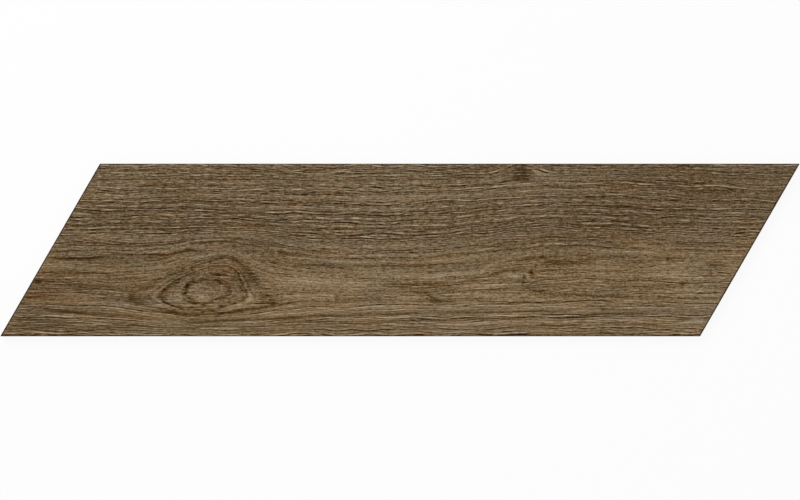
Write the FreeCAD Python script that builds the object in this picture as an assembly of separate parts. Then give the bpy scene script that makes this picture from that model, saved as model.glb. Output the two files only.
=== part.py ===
"""Chevron wall tile: one pressed and fired ceramic piece with a keyed back, in millimetres.

Frame: the origin is the centre of the back, in the plane of the rib tips. +X runs along the
long sides, +Y from the lower long side to the upper one, and +Z out of the decorated face.
"""

import FreeCAD, Part
import math
import os

# Outline of the tile, a parallelogram with its long sides along X
LONG_SIDE = 600.0  # each long side, from one mitred end to the other
TILE_WIDTH = 148.0  # from one long side to the other
MITRE_ANGLE = 60.0  # degrees from a long side to a mitred end
TILE_THICKNESS = 9.0  # from the rib tips to the decorated face

# Arrises, ground after firing
FACE_ARRIS = 0.8  # width and drop of the 45 degree arris round the decorated face
BACK_ARRIS = 1.2  # width and rise of the 45 degree arris round the back

# Keyed back: shallow cells that the adhesive fills, with ribs between them and a rim round them
KEY_DEPTH = 0.7  # from the rib tips to the floor of a cell
RIM_WIDTH = 6.5  # rim with its arris, from the side of the tile to the mouth of the outer cells
RIB_WIDTH = 2.5  # flat tip of a rib between two cells
CELL_ROWS = 6  # rows of cells across the width, an even number, so that ribs cross at the origin
CELL_DRAFT = 30.0  # degrees that a cell's walls lean, so that the tile leaves its press
SMALLEST_CELL_SHARE = 0.3  # cells that a mitred end cuts smaller than this are left solid

# Worked out from the sizes above
DRAFT_RUN = KEY_DEPTH * math.tan(math.radians(CELL_DRAFT))  # how far a cell's wall leans in
CELL_SIDE = (TILE_WIDTH - 2 * RIM_WIDTH - (CELL_ROWS - 1) * RIB_WIDTH) / CELL_ROWS
CELL_PITCH = CELL_SIDE + RIB_WIDTH


def parallelogram(margin, height):
    """Face with the tile's outline moved in by margin on every side, at the given height."""
    half_width = TILE_WIDTH / 2 - margin
    lean = half_width / math.tan(math.radians(MITRE_ANGLE))
    half_length = LONG_SIDE / 2 - margin / math.sin(math.radians(MITRE_ANGLE))
    corners = [
        (-half_length - lean, -half_width),
        (half_length - lean, -half_width),
        (half_length + lean, half_width),
        (-half_length + lean, half_width),
    ]
    points = [FreeCAD.Vector(x, y, height) for x, y in corners]
    return Part.Face(Part.makePolygon(points + points[:1]))


def pressed_plate():
    """The tile without its cells: a straight-sided plate with an arris round face and back."""
    levels = [
        (BACK_ARRIS, 0.0),
        (0.0, BACK_ARRIS),
        (0.0, TILE_THICKNESS - FACE_ARRIS),
        (FACE_ARRIS, TILE_THICKNESS),
    ]
    outlines = [parallelogram(margin, height).OuterWire for margin, height in levels]
    return Part.makeLoft(outlines, True, True)


def square_cell(column, row):
    """Face of a whole cell's mouth, counted in pitches from the rib crossing at the origin."""
    gap = RIB_WIDTH / 2
    corner = FreeCAD.Vector(column * CELL_PITCH + gap, row * CELL_PITCH + gap, 0)
    return Part.makePlane(CELL_SIDE, CELL_SIDE, corner)


def cell_tool(mouth):
    """Solid that presses one cell: its walls lean in from the mouth to the floor."""
    floor = mouth.makeOffset2D(-DRAFT_RUN)
    floor.translate(FreeCAD.Vector(0, 0, KEY_DEPTH))
    return Part.makeLoft([mouth.OuterWire, floor.OuterWire], True, True)


def key_cells():
    """Every cell of the keyed back: a square grid, cut off where the rim runs along the mitres."""
    inside_rim = parallelogram(RIM_WIDTH, 0.0)
    columns = math.ceil(inside_rim.BoundBox.XMax / CELL_PITCH)
    cells = []
    for row in range(-CELL_ROWS // 2, CELL_ROWS // 2):
        for column in range(-columns, columns):
            cut = square_cell(column, row).common(inside_rim)
            if cut.Area > SMALLEST_CELL_SHARE * CELL_SIDE**2:
                cells.append(cell_tool(cut.Faces[0]))
    return cells


def chevron_tile():
    """The whole tile, as one solid."""
    keyed = pressed_plate().cut(key_cells())
    return keyed.removeSplitter().Solids[0]


def main():
    """Writes the tile's one piece to parts/chevron_tile.step."""
    os.makedirs("parts", exist_ok=True)
    tile = chevron_tile()
    tile.exportStep("parts/chevron_tile.step")
    print("volume", round(tile.Volume), "mm3, valid", tile.isValid(), "faces", len(tile.Faces))


main()
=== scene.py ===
"""Looks of the chevron wall tile: a pressed, printed and glazed oak face on a fired body.

The tile lies on its back with its decorated face up. Everything is in metres in the frame of
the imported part; the figure of the oak is drawn in millimetres on the face, with x along the
long sides and y across them, both from the middle of the tile.
"""

import logging
import math
from dataclasses import dataclass
from enum import Enum
from typing import Any

import bmesh
import bpy
import numpy as np
from mathutils import Matrix, Vector


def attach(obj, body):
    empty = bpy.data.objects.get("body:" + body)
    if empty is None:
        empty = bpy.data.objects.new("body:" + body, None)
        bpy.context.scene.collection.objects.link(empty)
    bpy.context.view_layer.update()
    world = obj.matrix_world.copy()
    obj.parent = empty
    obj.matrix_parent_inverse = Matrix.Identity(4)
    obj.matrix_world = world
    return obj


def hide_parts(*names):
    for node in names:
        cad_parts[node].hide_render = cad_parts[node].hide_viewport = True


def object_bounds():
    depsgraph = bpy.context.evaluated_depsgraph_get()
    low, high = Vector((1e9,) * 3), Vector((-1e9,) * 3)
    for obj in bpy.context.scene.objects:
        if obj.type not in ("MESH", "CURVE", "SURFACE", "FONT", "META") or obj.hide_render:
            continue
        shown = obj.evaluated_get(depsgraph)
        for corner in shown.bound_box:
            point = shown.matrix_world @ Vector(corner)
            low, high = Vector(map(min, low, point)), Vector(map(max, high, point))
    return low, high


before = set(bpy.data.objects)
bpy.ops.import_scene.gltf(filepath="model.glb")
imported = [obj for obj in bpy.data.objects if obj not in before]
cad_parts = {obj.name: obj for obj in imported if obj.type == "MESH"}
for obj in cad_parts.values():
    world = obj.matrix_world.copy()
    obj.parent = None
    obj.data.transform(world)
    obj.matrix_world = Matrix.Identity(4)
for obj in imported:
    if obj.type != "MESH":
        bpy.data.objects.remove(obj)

CAD_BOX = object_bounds()

MM = 0.001
NODE = "chevron_tile"
BAKE_MAP = "OFBake"

Colour = tuple[float, float, float]  # red, green and blue, from 0 to 255
Paint = tuple[float, float, float, float]  # the same in linear light, with an alpha of one
Socket = bpy.types.NodeSocket
WHITE: Paint = (1.0, 1.0, 1.0, 1.0)

log = logging.getLogger("chevron_tile")


class Finish(Enum):
    """Material slots of the tile, in the order they have on its mesh."""

    PRINTED_FACE = 0
    MITRE_ARRIS = 1
    SIDE_ARRIS = 2
    FIRED_BODY = 3


class Carried(Enum):
    """Values, up to three to a name, that the mesh carries from the figure to the printed finish."""

    GRAIN = "grain"  # along the tile, across the grain, across the tile
    FIGURE = "figure"  # tone, warmth, tint towards red
    LINES = "lines"  # strength of the fine lines, share that runs straight, share that runs unbroken
    RING_GAP = "ring_gap"  # distance from each ring of the large knot
    RING_TONE = "ring_tone"  # tone of each ring there
    RING_COUNT = "ring_count"  # rings from the knot's heart


# Drawing of the oak


class FibreNoise:
    """Smooth noise on a plane, the same on every run."""

    LATTICE = 256
    FULL_SWING = 4.0  # brings the noise to a spread of about one

    def __init__(self, seed: int) -> None:
        """Draws one random slope for each point of the lattice.

        Args:
            seed: number that picks the pattern.
        """
        turns = np.random.default_rng(seed).uniform(0, 2 * math.pi, (self.LATTICE, self.LATTICE))
        self.slope_u = np.cos(turns)
        self.slope_v = np.sin(turns)

    def at(self, u: np.ndarray, v: np.ndarray) -> np.ndarray:
        """Noise at points of the plane.

        Args:
            u: first coordinate of each point, in cells of the lattice.
            v: second coordinate of each point, in cells.

        Returns:
            The value at each point, about zero with a spread of about one.
        """
        cell_u = np.floor(u).astype(int)
        cell_v = np.floor(v).astype(int)
        part_u = u - cell_u
        part_v = v - cell_v
        ease_u = part_u**3 * (part_u * (part_u * 6 - 15) + 10)
        ease_v = part_v**3 * (part_v * (part_v * 6 - 15) + 10)
        rows = []
        for step_v in (0, 1):
            ends = []
            for step_u in (0, 1):
                at = (cell_v + step_v) % self.LATTICE, (cell_u + step_u) % self.LATTICE
                ends.append(self.slope_u[at] * (part_u - step_u) + self.slope_v[at] * (part_v - step_v))
            rows.append(ends[0] * (1 - ease_u) + ends[1] * ease_u)
        return self.FULL_SWING * (rows[0] * (1 - ease_v) + rows[1] * ease_v)


@dataclass(frozen=True)
class Drift:
    """Value that drifts over the face as smooth noise does."""

    seed: int
    along: float  # length of its cells along the tile
    across: float  # length of its cells across the tile
    swing: float = 1.0
    level: float = 0.0  # value that it drifts about
    lowest: float = -math.inf
    highest: float = math.inf
    shift: float = 0.0  # picks another part of the same noise

    def at(self, x: np.ndarray, y: np.ndarray, share: Any = 1.0) -> np.ndarray:
        """Value at points of the face, where a share of the swing is left."""
        noise = FibreNoise(self.seed).at(x / self.along + self.shift, y / self.across)
        return np.clip(self.level + self.swing * share * noise, self.lowest, self.highest)


@dataclass(frozen=True)
class Patch:
    """Soft oval patch, strongest in its middle."""

    x: float
    y: float
    reach: float  # how far it spreads along the tile
    spread: float  # how far it spreads across the tile
    amount: float
    flatness: float = 1.0  # above one, the patch is level in the middle and ends sooner

    def at(self, x: np.ndarray, y: np.ndarray) -> np.ndarray:
        """Amount of the patch at each point."""
        off = ((x - self.x) / self.reach) ** 2 + ((y - self.y) / self.spread) ** 2
        return self.amount * np.exp(-0.5 * off**self.flatness)


@dataclass(frozen=True)
class Spot:
    """Small dark or light oval mark, dark below zero."""

    tone: float
    x: float
    y: float
    reach: float
    spread: float
    tilt: float = 0.0  # degrees that its length turns from the long sides
    hardness: float = 1.0  # above one, a pressed mark is level in the middle and ends sooner

    def at(self, x: np.ndarray, y: np.ndarray) -> np.ndarray:
        """Tone of the pressed mark at some points.

        Args:
            x: place of each point along the tile.
            y: place of each point across it.

        Returns:
            The tone at each point.
        """
        turn = math.radians(self.tilt)
        along = ((x - self.x) * math.cos(turn) + (y - self.y) * math.sin(turn)) / self.reach
        above = ((y - self.y) * math.cos(turn) - (x - self.x) * math.sin(turn)) / self.spread
        return self.tone * np.exp(-((along**2 + above**2) ** self.hardness))

    def drawn(self, bench: "Bench", plane: Socket) -> Socket:
        """The printed mark in a material.

        Args:
            bench: tree that it goes in.
            plane: place on the face, in millimetres.

        Returns:
            Tone of the mark.
        """
        local = bench.add("ShaderNodeMapping", {
            "Vector": plane,
            "Location": (self.x, self.y, 0),
            "Rotation": (0, 0, math.radians(self.tilt)),
            "Scale": (self.reach, self.spread, 1),
        }, vector_type="TEXTURE").outputs[0]
        off = bench.add("ShaderNodeVectorMath", {0: local, 1: local}, operation="DOT_PRODUCT")
        fall = bench.maths("EXPONENT", bench.times(off.outputs["Value"], -1.0))
        return bench.times(fall, self.tone)


@dataclass(frozen=True)
class Vein:
    """Single line of the grain, dark below zero and light above it."""

    tone: float
    width: float
    points: tuple[tuple[float, float], ...]

    @classmethod
    def from_row(cls, row: tuple[float, ...]) -> "Vein":
        """Line from its tone, its width, and the x and y of each of its points."""
        tone, width, *places = row
        return cls(tone, width, tuple(zip(places[::2], places[1::2])))

    def at(self, x: np.ndarray, y: np.ndarray) -> np.ndarray:
        """Tone of the line at some points.

        Args:
            x: place of each point along the tile.
            y: place of each point across it.

        Returns:
            The tone at each point.
        """
        stops_x, stops_y = zip(*self.points)
        off = (y - np.interp(x, stops_x, stops_y)) / self.width
        run = 2 * (x - stops_x[0]) / (stops_x[-1] - stops_x[0]) - 1
        return self.tone * np.clip(1 - run**4, 0, 1) * np.exp(-(off**2))


# Long lines of the grain: tone, width, then the x and y of each point
VEIN_ROWS: tuple[tuple[float, ...], ...] = (
    # Upper part, from the left
    (-1, 1, -274, 37.5, -261, 36, -231, 36, -201, 37),
    (-0.9, 2.1, -278, 33.5, -261, 31, -247, 31),
    (-1.1, 1, -284, 24.5, -257, 21.5, -236, 22.5, -214, 22.5, -193, 23.5, -167, 22.5, -141, 24, -122,
     20.5, -105, 18.5),
    (-1.4, 0.9, -195, 26, -167, 27, -150, 26, -133, 28, -118, 26.5, -103, 23, -86, 19.5, -64, 18),
    (-0.7, 0.9, -240, 18, -206, 18, -171, 18.5, -144, 19),
    (1, 0.8, -207, 28.5, -180, 28, -150, 28.5, -129, 30),
    (0.7, 0.9, -257, 52.5, -244, 51, -227, 51.5),
    (0.6, 0.9, -180, 46.5, -150, 47, -118, 49),
    (-0.9, 1, -163, 35.5, -146, 36, -130, 36.5),
    (-0.8, 2.2, -100, 71, -86, 70.5, -64, 70.5),
    (-0.6, 2.6, -118, 60, -103, 56.5, -86, 60),
    (1.2, 1.1, -67, 65, -50, 64, -30, 64.5),
    (0.7, 1.4, -21, 65, -4, 63.5, 7, 62.5),
    (0.8, 0.9, -103, 45.5, -81, 43.5),
    (1, 1.4, -43, 43.5, -30, 42.5, -4, 42, 17, 44.5, 47, 48),
    (0.9, 1.1, -32, 36, -17, 36),
    (-1.1, 1, -75, 46, -60, 46.5, -50, 46.5),
    (-0.9, 1, -86, 41, -64, 40.5, -47, 40.5, -33, 39),
    (-0.9, 0.9, -24, 49.5, 2, 49.5),
    (-1.2, 0.9, -75, 31.5, -51, 31, -34, 30.5, -19, 28.5, 4, 28.5),
    (1, 1.2, -26, 26, 2, 26.5),
    (1.5, 1.1, -67, 16.5, -47, 15.5, -27, 16),
    (-0.9, 0.9, -73, 18, -43, 17.5, -7, 19),
    (-0.9, 1, -105, 13.5, -86, 11.5, -73, 11.5),
    (-0.7, 1, -24, 8, -7, 8, 13, 10.5),
    (-0.9, 0.9, 4, 15.5, 27, 16),
    (-0.8, 1.9, 34, 68.5, 51, 64.5, 70, 60),
    (-0.9, 1, 15, 40.5, 34, 40.5, 50, 39),
    (-1, 0.9, 33, 35, 47, 35, 64, 37.5),
    (0.9, 0.9, 10, 31, 27, 31),
    (-1, 1.1, 34, 21.5, 47, 18, 64, 19),
    (0.9, 0.9, 47, 24, 69, 26, 90, 28.5),
    (1.7, 0.9, 87, 28, 103, 29, 117, 33),
    (0.8, 0.9, 67, 32.5, 86, 36, 103, 40.5),
    (-0.8, 0.9, 69, 37.5, 90, 41.5, 103, 45.5),
    (-0.9, 0.9, 124, 54, 150, 54.5, 170, 54),
    (-0.9, 1, 170, 56, 188, 56.5, 206, 55),
    (-0.7, 2.7, 201, 58.5, 218, 55.5, 240, 55),
    (-1.5, 2.9, 233, 53, 257, 49.5, 270, 49, 296, 48),
    (-1, 1.1, 224, 43.5, 248, 43.5),
    (-0.9, 1.2, 171, 38.5, 197, 37.5, 212, 37.5),
    (-0.6, 3.4, 218, 36, 240, 32.5, 267, 31),
    (1, 0.9, 110, 29, 129, 30, 150, 28.5, 171, 27.5, 206, 25.5),
    (-1.4, 0.9, 133, 32, 154, 31.5, 171, 31, 188, 28.5, 206, 27.5, 230, 26.5),
    (-1.3, 0.9, 133, 27, 154, 27, 171, 25, 193, 24, 207, 24.5),
    (-0.9, 0.9, 146, 21.5, 171, 20, 206, 20.5, 261, 21.5),
    (-1.3, 1.3, 116, 11, 137, 12.5, 154, 12, 176, 11.5, 201, 12.5),
    (-0.9, 1, 193, 15.5, 214, 14, 233, 14.5),
    (0.8, 1, 127, 15.5, 146, 15.5),
    (0.9, 0.9, 212, 11, 231, 13, 257, 11, 296, 10.5),
    (1, 1, 180, 6, 206, 5, 218, 3.5, 244, 4),
    (-0.9, 0.9, 171, 5.5, 193, 2.5, 218, 1.5),
    (-1, 0.9, 233, 6.5, 257, 5.5, 272, 7),
    (0.8, 0.9, 270, 56.5, 283, 55.5, 296, 55),
    # Middle, from the left
    (1.1, 1.3, -296, -1.5, -278, -2.5, -261, -1.5, -240, -1.5, -214, -2, -201, -1, -190, 2.5, -180, 4,
     -167, 2.5, -146, 4.5),
    (0.9, 1.2, -290, 13, -274, 13.5, -248, 11.5, -223, 10.5, -201, 10.5, -188, 12, -163, 11.5, -137, 13,
     -118, 11),
    (-1.1, 1, -286, 7, -270, 7.5, -257, 6, -236, 6, -223, 4.5, -210, 3.5, -197, 5.5, -184, 7.5, -170, 6,
     -159, 7.5, -141, 8.5, -124, 6, -99, 1),
    (-1.7, 1.1, -303, -6, -290, -7.5, -274, -8, -261, -7, -247, -5),
    (-1.5, 0.9, -261, -4, -248, -3, -231, -3.5, -214, -3.5, -201, -4.5, -190, -2.5, -180, -0.5, -169, -1),
    (-0.9, 1.7, -218, -5.5, -207, -6.5, -197, -6),
    (1.1, 1.5, -190, -7, -171, -6.5, -159, -3.5, -144, -2),
    (0.8, 1.5, -223, -16, -210, -14.5, -195, -12),
    (0.8, 1.1, -218, -22.5, -199, -21.5),
    (-0.7, 2.1, -304, -19, -278, -19.5, -257, -19.5, -240, -24, -218, -23),
    (-1, 2.1, -317, -27.5, -291, -29, -266, -31, -242, -30),
    (-0.9, 1, -300, -36, -274, -36.5, -257, -35),
    (-0.8, 0.9, -284, -13.5, -257, -13.5, -240, -10.5),
    (-0.9, 2.2, -118, -2.5, -99, -3.5, -86, -2.5, -64, -3),
    (-0.9, 1, -122, -9.5, -111, -10.5, -99, -10.5),
    (-1.6, 1, -96, -13.5, -77, -13.5, -64, -13, -51, -15, -41, -14.5),
    (-1.3, 0.9, -41, -14, -17, -13, 9, -13.5, 34, -12.5, 56, -12),
    (0.8, 1.2, -86, 3.5, -69, 3, -47, 1, -26, 2.5, 0, 3.5, 27, 3.5),
    (0.8, 0.9, -49, -2.5, -27, -2),
    (0.9, 1.2, -73, -8.5, -56, -9.5, -43, -11, -26, -10.5, -10, -10.5),
    (1, 1.1, 15, -10.5, 34, -9.5, 50, -9.5, 64, -6, 75, -4.5),
    (1.3, 1.5, -12, -24.5, 0, -22, 26, -22.5, 43, -20.5, 69, -19, 84, -15.5),
    (1, 3.9, -118, -28.5, -86, -26.5, -60, -29, -13, -31),
    (0.7, 2.6, -107, -38.5, -77, -40.5, -43, -37.5),
    (-1.2, 2.2, -15, -29.5, 9, -30, 26, -30, 47, -31),
    (-1, 1.2, 7, -35.5, 21, -37.5, 34, -42),
    (-0.5, 1.4, -64, -40.5, -43, -42, -21, -41, 2, -40.5),
    (0.8, 1.2, -3, -41.5, 10, -42, 21, -41),
    (-1, 1.5, 36, -25, 50, -23.5, 64, -23.5, 77, -22.5, 86, -19, 99, -15.5, 116, -13),
    (0.9, 1.3, 67, -17.5, 75, -14.5, 83, -10.5, 94, -7.5, 111, -5, 127, -3.5),
    (-1, 0.9, 84, -12, 99, -8, 111, -6.5, 127, -5.5, 141, -6),
    (-1.5, 1, 98, -10.5, 109, -8, 118, -7, 124, -6, 127.5, -8.5, 131, -12),
    (-1.4, 0.9, 77, -20.5, 89, -18.5, 96.5, -18, 106, -17),
    (-1.5, 1.9, 118, -11.5, 135, -10.5, 150, -10.5, 170, -9.5),
    (-0.9, 0.9, 67, 2.5, 81, 3, 99, 1.5, 116, 2.5),
    (1.3, 2.2, 45, -33.5, 69, -31, 86, -29.5, 105, -30),
    (1, 1.7, 41, -38, 60, -38.5, 77, -39.5, 99, -40.5, 124, -40.5),
    (1.1, 1.3, 89, -20.5, 97, -22, 105, -22.5),
    (-0.8, 1, 103, -28.5, 124, -29.5),
    (-1.2, 0.9, 101, -34, 116, -36, 129, -37.5, 150, -38.5, 176, -40, 206, -38.5),
    (0.8, 1.3, 135, -32.5, 154, -31.5, 180, -31.5),
    (0.7, 1.1, 150, -15.5, 171, -13.5, 193, -13),
    (0.7, 0.9, 154, -21.5, 180, -21.5),
    (0.9, 1.7, 163, -2.5, 182, -1.5, 206, -1.5, 230, -1),
    (-1, 1.1, 147, -5, 171, -6, 184, -6, 210, -7),
    (-1, 1, 216, -6, 231, -7, 244, -6),
    (-0.9, 1, 182, -11.5, 206, -11, 223, -10.5),
    (-1.5, 1.4, 262, -12.5, 274, -13, 284, -12),
    (0.9, 1.1, 199, -16, 223, -14.5, 236, -13, 248, -12),
    (1.1, 1.5, 210, -22, 236, -20.5, 257, -21),
    (1, 1.3, 233, -26, 257, -25, 276, -25.5),
    (-1, 1.3, 167, -28, 188, -26.5, 206, -25.5, 218, -26.5, 233, -29, 248, -28.5, 267, -27),
    (-0.9, 0.9, 218, -28.5, 236, -29, 255, -28),
    (0.9, 2.7, 218, -34.5, 248, -33.5, 278, -34.5),
    # Lower part, from the left
    (-1.4, 1.2, -329, -48, -308, -49.5, -296, -52, -274, -54, -261, -55, -240, -56.5, -223, -58.5, -201,
     -59.5),
    (-1, 0.9, -206, -59, -171, -60, -137, -60.5, -118, -59.5, -94, -58),
    (-1.3, 1, -118, -59.5, -94, -58, -69, -56, -47, -57, -24, -55.5, -4, -54.5, 26, -53),
    (-1.2, 1.3, -338, -60, -317, -60, -300, -61.5, -278, -62.5, -261, -61.5),
    (-1.1, 0.9, -274, -54, -257, -57, -240, -57.5),
    (0.9, 1.3, -308, -55.5, -287, -57, -266, -57.5),
    (0.8, 1.2, -270, -46, -250, -47.5, -230, -46.5),
    (0.7, 1.4, -302, -41, -287, -43, -253, -40.5),
    (-0.8, 0.9, -257, -63, -231, -64.5, -201, -66),
    (-1.2, 1, -206, -50.5, -193, -53, -180, -55, -167, -55, -153, -54, -137, -52.5, -122, -50, -107, -49),
    (-0.9, 0.9, -190, -61.5, -171, -62.5, -153, -61.5),
    (-0.8, 0.9, -190, -66, -167, -67, -147, -66),
    (0.9, 1.2, -153, -64, -133, -62, -116, -63.5),
    (0.9, 1.6, -122, -55.5, -94, -54.5, -69, -52.5, -45, -52),
    (-1.4, 1.3, -110, -63.5, -90, -64.5, -77, -61.5, -60, -62, -39, -63.5, -21, -62.5, 0, -61, 34, -60),
    (0.9, 1.1, -51, -58.5, -17, -58.5, 21, -56.5),
    (0.7, 1.1, -73, -60, -45, -60),
    (-0.8, 0.9, -118, -69.5, -60, -69.5, 0, -67.5, 43, -66.5),
    (-1, 1.5, -118, -44.5, -107, -46.5, -89, -44.5),
    (0.8, 1.9, -56, -48, -17, -49.5, 21, -49.5),
    (-1.8, 1.3, 21, -41, 27, -43.5, 36, -44.5, 50, -44),
    (-1.3, 0.9, 47, -44, 86, -44, 103, -44.5, 120, -45.5, 146, -44.5),
    (-1.5, 1.2, 139, -45.5, 154, -44.5, 171, -44.5, 183, -43.5),
    (1, 1.5, 26, -49.5, 47, -48, 64, -46.5, 90, -47),
    (0.9, 1.3, 90, -50.5, 111, -49.5, 137, -48.5, 171, -46.5),
    (-1.2, 0.9, 21, -53, 43, -53.5, 69, -54, 94, -52.5, 124, -52.5),
    (0.9, 1.1, 67, -56.5, 86, -56.5, 105, -55.5),
    (-1.2, 1, 31, -60.5, 60, -59, 86, -58.5, 111, -57.5, 133, -56.5),
    (-1.9, 1.3, 129, -57, 154, -57, 171, -55, 193, -54.5, 206, -54, 224, -55),
    (-1.1, 1, 137, -51, 163, -50.5, 182, -49.5, 197, -48, 214, -46.5, 236, -47),
    (0.8, 1, 30, -65, 51, -64.5, 77, -62.5, 111, -61),
    (0.9, 1.1, 161, -60, 188, -59.5, 210, -60),
    (-1.1, 1, 182, -62.5, 206, -64, 223, -64.5),
    (-0.7, 0.9, 69, -67, 120, -65, 171, -64.5),
    (-0.9, 0.9, 137, -70.5, 188, -69.5, 248, -69.5),
    (1.1, 1.1, 214, -39.5, 240, -40, 257, -39.5, 277, -39.5),
    (-1.1, 0.9, 206, -40.5, 240, -41.5, 272, -42),
    (-0.7, 0.9, 214, -37.5, 240, -37.5, 276, -37),
    (0.9, 1.1, 201, -49.5, 223, -49.5, 244, -50.5),
    (-0.9, 0.9, 227, -55, 248, -55.5, 264, -55.5),
    (1, 1.1, 244, -62, 262, -61.5),
    (-1.2, 0.9, 235, -59.5, 250, -59.5),
    (-0.9, 1, -298, -50.5, -290, -52.5, -283, -53, -276, -54.5, -264, -55.5),
    (-1.2, 0.9, -334, -64.5, -317, -63.5, -302, -65, -295, -65, -279, -65),
    (-1.1, 0.9, -332, -66.5, -320, -67.5, -314, -68, -288, -67.5),
    (-1.4, 0.9, -288, -69, -278, -69, -269, -69, -260, -69.5),
    (-1.2, 0.9, -271, -66.5, -257, -66.5, -248, -66.5, -230, -66.5),
    (-1.1, 0.9, -252, -62.5, -240, -63, -231, -64, -223, -64.5, -214, -65.5, -204, -65.5),
    (0.9, 1.1, -307, -55, -287, -56, -266, -56.5, -251, -57),
    (0.8, 0.9, -283, -64.5, -269, -64.5, -254, -64.5),
    (-0.8, 0.9, -321, -40.5, -308, -40.5, -300, -40),
    (-1.4, 0.9, -214, -65, -209, -66, -194, -66.5, -178, -67.5, -166, -66, -151, -66, -137, -66.5, -126,
     -66, -115, -65.5, -105, -64, -91, -64),
    (1.3, 0.9, -175, -68.5, -166, -67.5, -151, -67.5, -137, -68),
    (-1.5, 0.9, -177, -62, -170, -62, -161, -61.5, -151, -61, -141, -60.5, -132, -59.5, -123, -60),
    (-1.7, 0.9, -127, -60, -117, -60, -110, -59.5, -103, -58.5, -94, -58, -79, -58),
    (1, 0.9, -137, -63, -123, -62, -111, -61, -100, -60),
    (-1, 0.9, -183, -69.5, -171, -69.5, -166, -68.5, -159, -69, -137, -69.5, -103, -69),
    (-1.2, 1, -216, -49.5, -206, -51, -193, -53.5, -186, -55, -171, -55.5),
    (-1.3, 1, -156, -54, -151, -54, -141, -53.5),
    (0.9, 1, -159, -51.5, -151, -51.5, -137, -49, -127, -47.5),
    (-1.3, 0.9, -39, -58, -26, -58, -15, -57, -9, -56, 0, -55, 9, -54.5, 17, -54),
    (-1.1, 0.9, -63, -66, -53, -66, -41, -66),
    (1.1, 0.9, -62, -59, -43, -59.5, -33, -58.5, -21, -58, -7, -58, 7, -56.5),
    (-0.9, 0.9, -36, -70, -26, -69.5, -15, -69, -2, -68.5),
    (-1.2, 0.9, 105, -53, 120, -52.5, 129, -53.5, 134, -52.5, 146, -52),
    (-1.1, 0.9, 116, -64.5, 127, -64.5, 134, -65, 146, -64.5, 156, -64),
    (-1.6, 0.9, 63, -72, 72, -72.5, 81, -72.5),
    (-1.5, 0.9, 100, -72, 106, -72, 111, -72),
    (-1.3, 0.9, 167, -71, 173, -70.5, 178, -70.5),
    (1.2, 0.9, 74, -56.5, 91, -55.5, 108, -55.5),
    (1.3, 0.9, 146, -53, 152, -52, 173, -51),
    (1.2, 0.9, 116, -60, 130, -59.5),
    (-1.1, 0.9, 170, -63, 185, -62.5, 194, -62.5),
    (-1, 1.1, -300, -6.5, -290, -7.5, -279, -7.5, -269, -7.5, -260, -6.5, -252, -6.5),
    (-1.3, 0.9, -254, -2.5, -244, -2.5, -231, -3, -218, -3.5, -206, -4, -197, -3.5),
    (-1.2, 1, -197, -3.5, -188, -2, -183, 0.5, -174, -1, -166, -1.5),
    (-1.1, 0.9, -319, -37, -307, -37.5, -291, -37),
    (-1, 0.9, -281, -20, -272, -20, -263, -19.5),
    (-1.1, 1.1, -279, -34.5, -271, -34.5),
)


@dataclass(frozen=True)
class Ring:
    """Closed dark line round the heart of a knot, with its tone at each point."""

    width: float
    points: tuple[tuple[float, float, float], ...]

    DIRECTIONS = 720
    ROUNDED = 13  # neighbouring directions that are averaged, which rounds the corners

    def around(self, heart: tuple[float, float]) -> tuple[np.ndarray, np.ndarray, np.ndarray]:
        """Follows the ring once round the heart.

        Args:
            heart: middle of the knot.

        Returns:
            The directions, and the radius and the tone in each of them.
        """
        points = np.array(self.points)
        turns = np.arctan2(points[:, 1] - heart[1], points[:, 0] - heart[0])
        radii = np.hypot(points[:, 1] - heart[1], points[:, 0] - heart[0])
        directions = np.linspace(-math.pi, math.pi, self.DIRECTIONS, endpoint=False)
        shifts = range(-(self.ROUNDED // 2), self.ROUNDED // 2 + 1)
        tables = []
        for values in (radii, points[:, 2]):
            table = np.interp(directions, turns, values, period=2 * math.pi)
            tables.append(sum(np.roll(table, shift) for shift in shifts) / self.ROUNDED)
        return directions, tables[0], tables[1]


@dataclass(frozen=True)
class KnotReading:
    """What the large knot says at each point of the face."""

    level: np.ndarray  # of the grain field that the knot alone would make
    gaps: list[np.ndarray]  # distance from each ring
    tones: list[np.ndarray]  # tone of each ring in that direction
    inside: np.ndarray
    count: np.ndarray  # rings from the heart, three at the last


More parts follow.
